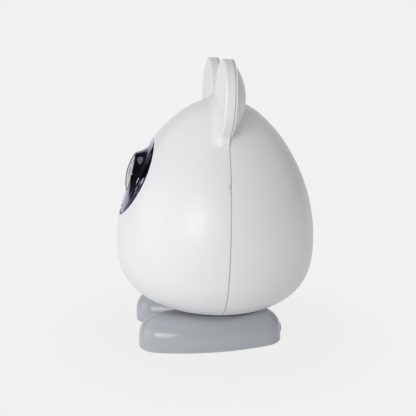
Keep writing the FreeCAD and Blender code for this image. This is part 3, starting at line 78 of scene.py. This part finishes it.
camera_data = bpy.data.cameras.new("studio_camera")
camera_data.lens = LENS_LENGTH
camera_data.sensor_width = SENSOR_WIDTH
camera_data.clip_start = CLIP_START
camera = bpy.data.objects.new("studio_camera", camera_data)
camera.location = CAMERA_PLACE
camera.rotation_euler = CAMERA_LOOK.to_track_quat("-Z", "Y").to_euler()
bpy.context.scene.collection.objects.link(camera)
bpy.context.scene.camera = camera
bpy.context.scene.view_settings.view_transform = "Standard"
print("camera to object:", round((CAMERA_PLACE - AIM).length, 3), "m")

# %% [markdown]
# A material is a graph of nodes. One small function adds a node, sets what it is told to, and joins
# its inputs to other nodes, so that each finish below reads as a short list.

# %% Node helper


def add(tree, kind, settings=None, **inputs):
    """Adds a node of that kind. Settings are its own options, and inputs are numbers, colours or sockets."""
    node = tree.nodes.new(kind)
    for name, value in (settings or {}).items():
        setattr(node, name, value)
    for name, value in inputs.items():
        key = int(name[1:]) if name[0] == "n" and name[1:].isdigit() else name.replace("_", " ")
        socket = node.inputs[key]
        if isinstance(value, bpy.types.NodeSocket):
            tree.links.new(value, socket)
        else:
            socket.default_value = value
    return node


def start_material(name):
    """A new material with an empty graph but for its output: the material, its tree and the output node."""
    material = bpy.data.materials.new(name)
    material.use_nodes = True
    tree = material.node_tree
    tree.nodes.clear()
    return material, tree, tree.nodes.new("ShaderNodeOutputMaterial")


def clear_view_of(tree):
    """The kinds of ray in a tree, and a node that is 1 for rays from the camera and through glass."""
    rays = add(tree, "ShaderNodeLightPath")
    clear_view = add(tree, "ShaderNodeMath", {"operation": "MAXIMUM"}, n0=rays.outputs["Is Camera Ray"],
                     n1=rays.outputs["Is Transmission Ray"])
    return rays, clear_view


# %% [markdown]
# The studio is a white sweep of paper behind the pet camera, in a room that is dark elsewhere, so
# that its black face stays black. In such a picture the paper is lit until it is one flat pale
# tone, while soft boxes light the product. Here the world shows that tone to the camera and through
# glass. A gloss sees the paper only where the sweep stands, and everything else gets a dimmer, even
# light.

# %% World
PAPER_TONE = linear("F1F1F1")
ROOM_LIGHT = linear("F4F4F6")
ROOM_STRENGTH = 0.52
SWEEP_SIDE = (-0.99, 0.139, 0.0)
SWEEP_EDGE_ANGLE, SWEEP_INSIDE_ANGLE = math.radians(42), math.radians(24)
DARK_ROOM = 0.05

world = bpy.data.worlds.new("studio")
world.use_nodes = True
bpy.context.scene.world = world
room = world.node_tree
room.nodes.clear()
rays, clear_view = clear_view_of(room)
direction = add(room, "ShaderNodeTexCoord").outputs["Generated"]
towards = add(room, "ShaderNodeVectorMath", {"operation": "DOT_PRODUCT"}, n0=direction, n1=SWEEP_SIDE)
sweep = add(room, "ShaderNodeMapRange", {"interpolation_type": "SMOOTHSTEP"},
            Value=towards.outputs["Value"], From_Min=math.cos(SWEEP_EDGE_ANGLE),
            From_Max=math.cos(SWEEP_INSIDE_ANGLE), To_Min=DARK_ROOM, To_Max=1.0)
even_light = add(room, "ShaderNodeBackground", Color=ROOM_LIGHT, Strength=ROOM_STRENGTH)
mirrored = add(room, "ShaderNodeBackground", Color=PAPER_TONE, Strength=sweep.outputs[0])
seen_paper = add(room, "ShaderNodeBackground", Color=PAPER_TONE, Strength=1.0)
unseen = add(room, "ShaderNodeMixShader", n0=rays.outputs["Is Glossy Ray"], n1=even_light.outputs[0],
             n2=mirrored.outputs[0])
shown = add(room, "ShaderNodeMixShader", n0=clear_view.outputs[0], n1=unseen.outputs[0],
            n2=seen_paper.outputs[0])
add(room, "ShaderNodeOutputWorld", Surface=shown.outputs[0])
print("world strength:", ROOM_STRENGTH)

# %% [markdown]
# The floor is the same paper. Far from the object it shows the flat tone, so that no horizon is
# seen, and close to the feet a share of the real light on it comes through, which keeps the
# object's shadow.

# %% Floor
FLOOR_HALF = 3.0
LIT_TONE = linear("E8E8E8")
SHADOW_SHARE = 0.07
SHADOW_INSIDE, SHADOW_OUTSIDE = 0.06, 0.18

floor_mesh = bpy.data.meshes.new("floor")
corners = [(x * FLOOR_HALF, y * FLOOR_HALF, 0.0) for x, y in ((-1, -1), (1, -1), (1, 1), (-1, 1))]
floor_mesh.from_pydata(corners, [], [(0, 1, 2, 3)])
floor = bpy.data.objects.new("floor", floor_mesh)
bpy.context.scene.collection.objects.link(floor)
paper, tree, output = start_material("matt_paper")
rays, clear_view = clear_view_of(tree)
any_view = add(tree, "ShaderNodeMath", {"operation": "MAXIMUM"}, n0=clear_view.outputs[0],
               n1=rays.outputs["Is Glossy Ray"])
spot = add(tree, "ShaderNodeNewGeometry").outputs["Position"]
distance = add(tree, "ShaderNodeVectorMath", {"operation": "LENGTH"}, n0=spot)
flatness = add(tree, "ShaderNodeMapRange", {"interpolation_type": "SMOOTHSTEP"},
               Value=distance.outputs["Value"], From_Min=SHADOW_INSIDE, From_Max=SHADOW_OUTSIDE,
               To_Min=1 - SHADOW_SHARE, To_Max=1.0)
flat_share = add(tree, "ShaderNodeMath", {"operation": "MULTIPLY"}, n0=any_view.outputs[0],
                 n1=flatness.outputs[0])
lit_paper = add(tree, "ShaderNodeBsdfDiffuse", Color=LIT_TONE)
flat_paper = add(tree, "ShaderNodeEmission", Color=PAPER_TONE, Strength=1.0)
surface = add(tree, "ShaderNodeMixShader", n0=flat_share.outputs[0], n1=lit_paper.outputs[0],
              n2=flat_paper.outputs[0])
tree.links.new(surface.outputs[0], output.inputs["Surface"])
floor_mesh.materials.append(paper)
print("floor:", 2 * FLOOR_HALF, "m square")

# %% [markdown]
# Soft boxes are large lamps: the larger the lamp, the softer the edge of its light. The main one
# stands to the left of the camera, on the side of the object's face, and a second one nearer to the
# front. They leave soft highlights on the shell, which turns darker towards its back. The small
# ones add the points of light on the feet and the bezel, and a round one above is mirrored in the
# black bezel as a grey spot.

# %% Lamps
LAMP_DISTANCE = 1.1


def soft_box(name, turn, rise, width, height, watts, shape="RECTANGLE"):
    """An area lamp that looks at the object from a direction in degrees, with its size in metres."""
    turn, rise = math.radians(turn), math.radians(rise)
    out = Vector((math.cos(turn) * math.cos(rise), math.sin(turn) * math.cos(rise), math.sin(rise)))
    lamp = bpy.data.lights.new(name, "AREA")
    lamp.shape = shape
    lamp.size = width
    lamp.size_y = height
    lamp.energy = watts
    holder = bpy.data.objects.new(name, lamp)
    holder.location = AIM + out * LAMP_DISTANCE
    holder.rotation_euler = (-out).to_track_quat("-Z", "Y").to_euler()
    bpy.context.scene.collection.objects.link(holder)
    print(name, watts, "W")


soft_box("main_box", -30, 14, 0.5, 0.34, 3.75)
soft_box("face_box", -78, 8, 0.6, 0.6, 1.8)
soft_box("small_box", -100, 10, 0.1, 0.1, 0.35)
soft_box("spark_box", -143, 7, 0.04, 0.04, 0.015)
soft_box("overhead_disc", -124, 43, 0.38, 0.38, 0.4, "ELLIPSE")

# %% [markdown]
# The shell is moulded in white ABS, a tough plastic. Its mould is eroded to a fine satin, so
# highlights are broad and soft. The grain is drawn coarser than the real one, 0.5 mm instead of 0.1
# mm, so that it shows. ABS has an IOR near 1.53. The same function makes the other plastics, with
# their own colour, gloss and grain.

# %% Plastics
CLOUD_SIZE = 30.0
GLOSS_LOW, GLOSS_HIGH = 0.85, 1.15
COAT_ROUGHNESS = 0.02
LACQUER_IOR, LENS_COAT_IOR = 1.6, 1.7


def moulded(name, code, roughness, grain, grain_depth, mottle=0.012, ior=1.53, shine="FFFFFF",
            coat=0.0):
    """Moulded plastic: colour that barely varies and an eroded grain, its size and depth in millimetres."""
    material, tree, output = start_material(name)
    place = add(tree, "ShaderNodeTexCoord").outputs["Object"]
    cloud = add(tree, "ShaderNodeTexNoise", Vector=place, Scale=1 / (CLOUD_SIZE * MM), Detail=3.0)
    colour = linear(code)
    darker = (*(c * (1 - 4 * mottle) for c in colour[:3]), 1.0)
    tint = add(tree, "ShaderNodeMix", {"data_type": "RGBA"}, n0=cloud.outputs["Fac"], n6=darker,
               n7=colour)
    grains = add(tree, "ShaderNodeTexNoise", Vector=place, Scale=1 / (grain * MM), Detail=2.0)
    gloss = add(tree, "ShaderNodeMapRange", Value=grains.outputs["Fac"], To_Min=GLOSS_LOW * roughness,
                To_Max=GLOSS_HIGH * roughness)
    bump = add(tree, "ShaderNodeBump", Height=grains.outputs["Fac"], Distance=grain_depth * MM, Strength=1.0)
    skin = add(tree, "ShaderNodeBsdfPrincipled", Base_Color=tint.outputs[2], Roughness=gloss.outputs[0],
               IOR=ior, Specular_Tint=linear(shine), Coat_Weight=coat, Coat_Roughness=COAT_ROUGHNESS,
               Coat_IOR=LACQUER_IOR, Coat_Tint=linear(shine), Normal=bump.outputs[0])
    tree.links.new(skin.outputs[0], output.inputs["Surface"])
    return material


WHITE_ABS = moulded("satin_white_ABS", "F2F2F3", 0.37, 0.5, 0.006, mottle=0.004)
GREY_ABS = moulded("satin_blue_grey_ABS", "B8BCC1", 0.23, 0.5, 0.006)
DARK_ABS = moulded("black_ABS", "1B1B1D", 0.5, 0.4, 0.02)
FRAME_ABS = moulded("natural_grey_ABS", "B4B6B9", 0.5, 0.6, 0.02)
TRAY_PP = moulded("frosted_polypropylene", "D5D8DB", 0.45, 0.8, 0.02, ior=1.49)
ORANGE_ABS = moulded("orange_ABS", "E07A2A", 0.42, 0.5, 0.015)
ACETAL = moulded("natural_acetal", "E6E5DE", 0.38, 0.5, 0.01, ior=1.48)
SILICONE = moulded("black_silicone_rubber", "17171A", 0.75, 0.35, 0.03, ior=1.41)
EPOXY = moulded("dark_clear_epoxy", "160D16", 0.08, 1.5, 0.0015, ior=1.55)
BEZEL = moulded("polished_black_polycarbonate", "060608", 0.05, 3.0, 0.0004, ior=1.585, shine="CCCEFF",
                coat=0.6)
GASKET_RUBBER = moulded("beige_silicone_rubber", "C9B79E", 0.7, 0.35, 0.02, ior=1.41)
BLACK_MATT = moulded("matt_black_barrel_paint", "0B0B0C", 0.6, 0.3, 0.02)

# %% [markdown]
# Screws and springs are zinc-plated steel, and the motors' cans are drawn from steel sheet. Both
# show fine lines along the way they were drawn, which spread a highlight across them.

# %% Metals
LINE_SPACING, LINE_DEPTH = 1.2, 0.01
LINE_SQUEEZE = (1.0, 1.0, 12.0)


def plated(name, code, roughness):
    """Plated or drawn metal: fine drawing lines across it and small changes of gloss."""
    material, tree, output = start_material(name)
    place = add(tree, "ShaderNodeTexCoord").outputs["Object"]
    stretch = add(tree, "ShaderNodeMapping", Vector=place, Scale=LINE_SQUEEZE)
    lines = add(tree, "ShaderNodeTexNoise", Vector=stretch.outputs[0], Scale=1 / (LINE_SPACING * MM),
                Detail=3.0)
    gloss = add(tree, "ShaderNodeMapRange", Value=lines.outputs["Fac"], To_Min=roughness - 0.08,
                To_Max=roughness + 0.1)
    bump = add(tree, "ShaderNodeBump", Height=lines.outputs["Fac"], Distance=LINE_DEPTH * MM, Strength=1.0)
    skin = add(tree, "ShaderNodeBsdfPrincipled", Base_Color=linear(code), Roughness=gloss.outputs[0],
               Metallic=1.0, Normal=bump.outputs[0])
    tree.links.new(skin.outputs[0], output.inputs["Surface"])
    return material


STEEL = plated("zinc_plated_steel", "C9CBCC", 0.3)
MOTOR_CAN = plated("drawn_steel_can", "BEBFC0", 0.36)

# %% [markdown]
# A circuit board is glass fibre under a thin green lacquer, the solder resist. Its copper tracks
# show through as lighter lines, here 6 mm apart, and stand a little proud.

# %% Circuit board
TRACK_SPACING, TRACK_HEIGHT = 6.0, 0.03


def circuit_board():
    """A board under green solder resist, with copper tracks that show through it as lighter lines."""
    material, tree, output = start_material("solder_resist_board")
    place = add(tree, "ShaderNodeTexCoord").outputs["Object"]
    tracks = add(tree, "ShaderNodeTexBrick", Vector=place, Scale=1 / (TRACK_SPACING * MM),
                 Color1=linear("0E5A2C"), Color2=linear("0B4F26"), Mortar=linear("2E7D46"),
                 Mortar_Size=0.06)
    bump = add(tree, "ShaderNodeBump", Height=tracks.outputs["Fac"], Distance=TRACK_HEIGHT * MM, Strength=0.6)
    skin = add(tree, "ShaderNodeBsdfPrincipled", Base_Color=tracks.outputs["Color"], Roughness=0.3,
               Normal=bump.outputs[0])
    tree.links.new(skin.outputs[0], output.inputs["Surface"])
    return material


BOARD = circuit_board()

# %% [markdown]
# The front glass is a thin polished dome. Its edge is a thin dark line while its middle stays clear, because the
# dark room is seen through the glass's thick edge. Here that line is painted shade: a dark matt colour is mixed
# in where the glass is seen from its edge. The lens behind it has a bluish coating.

# %% Glass
HAZE_SIZE = 8.0
HAZE_ROUGHNESS = 0.02
# Where the painted edge shade of the glass starts and where it is full, as facing values.
EDGE_SHADE_START, EDGE_SHADE_FULL = 0.74, 0.86


def glass(name, code, painted_edge_shade_code, roughness, ior, coat):
    """Clear glass or a coated lens, with painted shade, a dark matt colour, where it is seen from its edge."""
    material, tree, output = start_material(name)
    place = add(tree, "ShaderNodeTexCoord").outputs["Object"]
    haze = add(tree, "ShaderNodeTexNoise", Vector=place, Scale=1 / (HAZE_SIZE * MM), Detail=2.0)
    gloss = add(tree, "ShaderNodeMapRange", Value=haze.outputs["Fac"], To_Min=roughness,
                To_Max=roughness + HAZE_ROUGHNESS)
    clear = add(tree, "ShaderNodeBsdfPrincipled", Base_Color=linear(code), Roughness=gloss.outputs[0],
                IOR=ior, Transmission_Weight=1.0, Coat_Weight=coat, Coat_Roughness=COAT_ROUGHNESS,
                Coat_IOR=LENS_COAT_IOR)
    # Painted shade: a dark matt colour on the glass's edge that stands in for the dark room seen through it.
    painted_edge_shade = add(tree, "ShaderNodeBsdfDiffuse", Color=linear(painted_edge_shade_code))
    slant = add(tree, "ShaderNodeLayerWeight", Blend=0.5)
    edge = add(tree, "ShaderNodeMapRange", Value=slant.outputs["Facing"], From_Min=EDGE_SHADE_START,
               From_Max=EDGE_SHADE_FULL)
    skin = add(tree, "ShaderNodeMixShader", n0=edge.outputs[0], n1=clear.outputs[0],
               n2=painted_edge_shade.outputs[0])
    tree.links.new(skin.outputs[0], output.inputs["Surface"])
    return material


COVER_GLASS = glass("coated_cover_glass", "F6F6FC", "2C3044", 0.0, 1.52, 0.0)
EYE_GLASS = glass("coated_lens_glass", "B9BCE6", "30344A", 0.0, 1.6, 0.5)

# %% [markdown]
# The record gives each piece a material slot, so one table from slot to finish dresses them all.

# %% Give each piece its finish
FINISHES = {
    "white_shell": WHITE_ABS, "grey_foot": GREY_ABS, "dark_plastic": DARK_ABS, "rubber_pad": SILICONE,
    "black_gloss": BEZEL, "lamp_lens": EPOXY, "front_glass": COVER_GLASS, "black_matte": BLACK_MATT,
    "lens_eye": EYE_GLASS, "board": BOARD, "metal_can": MOTOR_CAN, "steel": STEEL, "hopper_plastic": TRAY_PP,
    "frame_plastic": FRAME_ABS, "drum_plastic": ORANGE_ABS, "gear_plastic": ACETAL,
}
for subpart in frame["record"]["subparts"]:
    piece = frame["nodes"][subpart["node"]]
    for slot in piece.material_slots:
        slot.material = FINISHES[subpart["material_slot"]]

# %% [markdown]
# The front halves of the ears are moulded in one with the front shell. A moulder doesn't leave a
# sharp inner corner there, because plastic flows badly round it and it cracks. So the ear runs into
# the head with a round fillet. Its form is what a ball leaves free when it rolls along the corner
# and touches both surfaces, so the ball is rolled here: it keeps its distance from the egg and from
# the ear, and goes round the ear's front.

# %% The head's own frame
WAIST_LEVEL = 77.7
LEAN = Matrix.Rotation(math.radians(-2.5), 3, "X")


def in_object(point):
    """A point in the head's frame, in mm, as a point of the object, in metres."""
    return (LEAN @ point + Vector((0.0, 0.0, WAIST_LEVEL))) * MM


# %% Surface of the egg
EGG_RADIUS, EGG_RISE, EGG_DROP = 78.0, 111.6, 54.65
CROWN_POWER, CROWN_TAPER, BELLY_POWER = 1.92, 0.106, 2.652
OUTLINE_POINTS = 500


def outline_point(turn):
    """A point of the egg's outline as radius and level: -1 is its bottom, 0 its waist and 1 its crown."""
    share = abs(math.sin(turn * math.pi / 2))
    power, height = (CROWN_POWER, EGG_RISE) if turn > 0 else (BELLY_POWER, -EGG_DROP)
    slim = 1 - CROWN_TAPER * share ** 2 if turn > 0 else 1.0
    return Vector((EGG_RADIUS * max(1 - share ** power, 0.0) ** (1 / power) * slim, 0.0, height * share))


OUTLINE = [outline_point(-1 + 2 * count / OUTLINE_POINTS) for count in range(OUTLINE_POINTS + 1)]


def egg_gap(point):
    """How far a point is outside the egg, and the direction straight away from it."""
    reach = math.hypot(point.x, point.y)
    flat = Vector((reach, 0.0, point.z))
    count = min(range(1, OUTLINE_POINTS), key=lambda number: (OUTLINE[number] - flat).length_squared)
    along = (OUTLINE[count + 1] - OUTLINE[count - 1]).normalized()
    gap = (flat - OUTLINE[count]).dot(Vector((along.z, 0.0, -along.x)))
    return gap, Vector((along.z * point.x / reach, along.z * point.y / reach, -along.x))


print("egg outline points:", len(OUTLINE))

# %% Surface of an ear's front half
EAR_SPREAD, EAR_LEVEL, EAR_RADIUS = 38.0, 112.0, 28.5
EAR_FACE, EAR_EDGE, EAR_DISH = -7.0, 1.6, 1.2
EAR_FLAT = EAR_RADIUS - EAR_EDGE
DISH_RADIUS = (EAR_FLAT ** 2 + EAR_DISH ** 2) / (2 * EAR_DISH)
DISH_CENTRE = Vector((EAR_SPREAD, EAR_FACE + EAR_DISH - DISH_RADIUS, EAR_LEVEL))


def ear_gap(point):
    """How far a point is outside the left ear's front half, and the direction straight away from it."""
    across = Vector((point.x - EAR_SPREAD, 0.0, point.z - EAR_LEVEL))
    if across.length < EAR_FLAT:
        away = DISH_CENTRE - point
        return DISH_RADIUS - away.length, away.normalized()
    out = across.normalized()
    if point.y > EAR_FACE + EAR_EDGE:
        return across.length - EAR_RADIUS, out
    away = out * (across.length - EAR_FLAT) + Vector((0.0, point.y - EAR_FACE - EAR_EDGE, 0.0))
    return away.length - EAR_EDGE, away.normalized()


print("dish radius of an ear's face:", round(DISH_RADIUS, 1), "mm")

# %% Roll the ball
BALL = 8.0
ROLL_STEP = 0.8
SEAM_FACE = -0.3
SETTLE_ROUNDS = 6
FIRST_STOPS = 8
START_OUT, START_DOWN = 0.95, 0.9


def settle(centre):
    """Moves the ball's centre until the ball touches both surfaces, and gives the directions away from them."""
    for _ in range(SETTLE_ROUNDS):
        (ear, from_ear), (egg, from_egg) = ear_gap(centre), egg_gap(centre)
        shared = from_ear.dot(from_egg)
        short = 1 - shared ** 2
        centre = centre + from_ear * ((BALL - ear - shared * (BALL - egg)) / short)
        centre = centre + from_egg * ((BALL - egg - shared * (BALL - ear)) / short)
    return centre, from_ear, from_egg


def roll():
    """Rolls the ball from the seam under the left ear, round its front, and back to the seam above the crown."""
    start = Vector((EAR_SPREAD + START_OUT * EAR_RADIUS, SEAM_FACE, EAR_LEVEL - START_DOWN * EAR_RADIUS))
    stops, forward = [settle(start)], Vector((0.0, -1.0, 0.0))
    while len(stops) < FIRST_STOPS or stops[-1][0].y < SEAM_FACE:
        centre, from_ear, from_egg = stops[-1]
        along = from_ear.cross(from_egg).normalized()
        forward = along if along.dot(forward) > 0 else -along
        stops.append(settle(centre + forward * ROLL_STEP))
    before, last = stops[-2][0], stops[-1][0]
    stops[-1] = settle(before.lerp(last, (SEAM_FACE - before.y) / (last.y - before.y)))
    return stops


STOPS = roll()
print("the ball rolls over", len(STOPS), "stops")

# %% Make the fillets
ARC_STEPS = 8
PROUD = 0.03
CORNER_DEPTH = 1.05
SHARP_ANGLE = math.radians(40)


def new_piece(name, points, faces, finish, body):
    """A mesh piece from points in metres, smooth but for its sharp edges, that rides on a body."""
    mesh = bpy.data.meshes.new(name)
    mesh.from_pydata(points, [], faces)
    mesh.validate()
    mesh.shade_smooth()
    mesh.set_sharp_from_angle(angle=SHARP_ANGLE)
    mesh.materials.append(finish)
    made = bpy.data.objects.new(name, mesh)
    bpy.context.scene.collection.objects.link(made)
    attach(made, body)
    print(name, "points:", len(points))


def tube_faces(rings, around, flipped=False):
    """Faces of a closed form whose points lie in rings, with a face at each end."""
    last = (rings - 1) * around
    faces = [tuple(range(around))[::-1], tuple(range(last, last + around))]
    for ring in range(rings - 1):
        for number in range(around):
            after = (number + 1) % around
            low, high = ring * around, (ring + 1) * around
            faces.append((low + number, low + after, high + after, high + number))
    return [face[::-1] for face in faces] if flipped else faces


def fillet_ring(centre, from_ear, from_egg, side):
    """The fillet's section: an arc from the ear to the egg, and a corner hidden inside both."""
    arc = [(-from_ear).slerp(-from_egg, step / ARC_STEPS) * (BALL - PROUD)
           for step in range(ARC_STEPS + 1)]
    corner = (from_ear + from_egg) * -CORNER_DEPTH * BALL
    section = [centre + part for part in (*arc, corner)]
    return [in_object(Vector((side * point.x, point.y, point.z))) for point in section]


for name, side in (("left_ear_fillet", 1), ("right_ear_fillet", -1)):
    points = [point for stop in STOPS for point in fillet_ring(*stop, side)]
    faces = tube_faces(len(STOPS), ARC_STEPS + 2, flipped=side > 0)
    new_piece(name, points, faces, WHITE_ABS, "head")

# %% [markdown]
# A thin rubber strip lies in the seam between the front shell and the rear cover. It keeps the
# treats fresh, and in the picture it is the fine brownish line from the ear to the base. It follows
# the egg and the ears, just inside their outside, and is glued to the cover's edge, so that it
# leaves with the cover.

# %% Seam strip
STRIP_INSET, STRIP_WIDTH, STRIP_HALF = 0.35, 1.7, 0.24
BASE_EDGE_LEVEL = -49.5
EAR_STEPS = 90
OFF_THE_AXIS = 1e-6
EAR_OVERLAP = 1.0


def strip(name, outside, inwards):
    """A flat strip along points of the seam, in the head's frame."""
    points = []
    for place, inward in zip(outside, inwards):
        near, far = place + inward * STRIP_INSET, place + inward * (STRIP_INSET + STRIP_WIDTH)
        for edge, depth in ((near, -STRIP_HALF), (far, -STRIP_HALF), (far, STRIP_HALF),
                            (near, STRIP_HALF)):
            points.append(in_object(edge + Vector((0.0, depth, 0.0))))
    new_piece(name, points, tube_faces(len(outside), 4), GASKET_RUBBER, "cover")


def egg_seam(side):
    """Points of the egg's seam on one side, outside the ears, with the directions inwards."""
    runs = {"lower": [], "crown": []}
    for point in OUTLINE:
        clear = math.hypot(point.x - EAR_SPREAD, point.z - EAR_LEVEL) > EAR_RADIUS - STRIP_WIDTH
        if point.z > BASE_EDGE_LEVEL and clear:
            run = "lower" if point.x > EAR_SPREAD else "crown"
            place = Vector((side * point.x, 0.0, point.z))
            runs[run].append((place, -egg_gap(place + Vector((side * OFF_THE_AXIS, 0.0, 0.0)))[1]))
    return runs


def ear_seam(side):
    """Points of one ear's seam, outside the egg, with the directions inwards."""
    found = []
    for count in range(-EAR_STEPS, EAR_STEPS + 1):
        turn = math.pi * count / EAR_STEPS
        out = Vector((side * math.sin(turn), 0.0, math.cos(turn)))
        place = Vector((side * EAR_SPREAD, 0.0, EAR_LEVEL)) + out * EAR_RADIUS
        if egg_gap(place)[0] > -EAR_OVERLAP:
            found.append((place, -out))
    return found


for side_name, side in (("left", 1), ("right", -1)):
    seams = {**egg_seam(side), "ear": ear_seam(side)}
    for part_name, run in seams.items():
        strip(f"seam_strip_{side_name}_{part_name}", *zip(*run))
